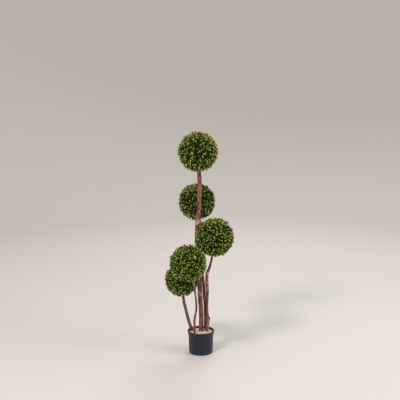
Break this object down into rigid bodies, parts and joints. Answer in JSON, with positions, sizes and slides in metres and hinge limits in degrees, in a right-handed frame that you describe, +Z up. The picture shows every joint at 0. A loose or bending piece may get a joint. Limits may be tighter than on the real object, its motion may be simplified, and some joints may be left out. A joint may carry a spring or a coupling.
{
  "type": "potted artificial multi-ball topiary",
  "caption": "Artificial boxwood topiary: clipped leafy balls on crooked wooden stems of stepped heights, in a plain round plastic pot with a pale cast filling.",
  "frame": {"origin": "middle of the pot's flat underside, which stands on the floor", "axes": "+Z up along the height; +Y away from the viewer of the front; +X to that viewer's right"},
  "size_m": [0.3075, 0.3921, 0.999],
  "materials": {
    "pot_plastic": "satin",
    "cast_filling": "matte",
    "bark": "matte",
    "foliage": "satin"
  },
  "bodies": {
    "root": {"pot": "pot_plastic", "pot_fill": "cast_filling", "main_stem": "bark", "back_stem": "bark", "right_stem": "bark", "front_stem": "bark", "left_stem": "bark", "top_ball": "foliage", "back_ball": "foliage", "right_ball": "foliage", "front_ball": "foliage", "left_ball": "foliage"}
  },
  "joints": []
}
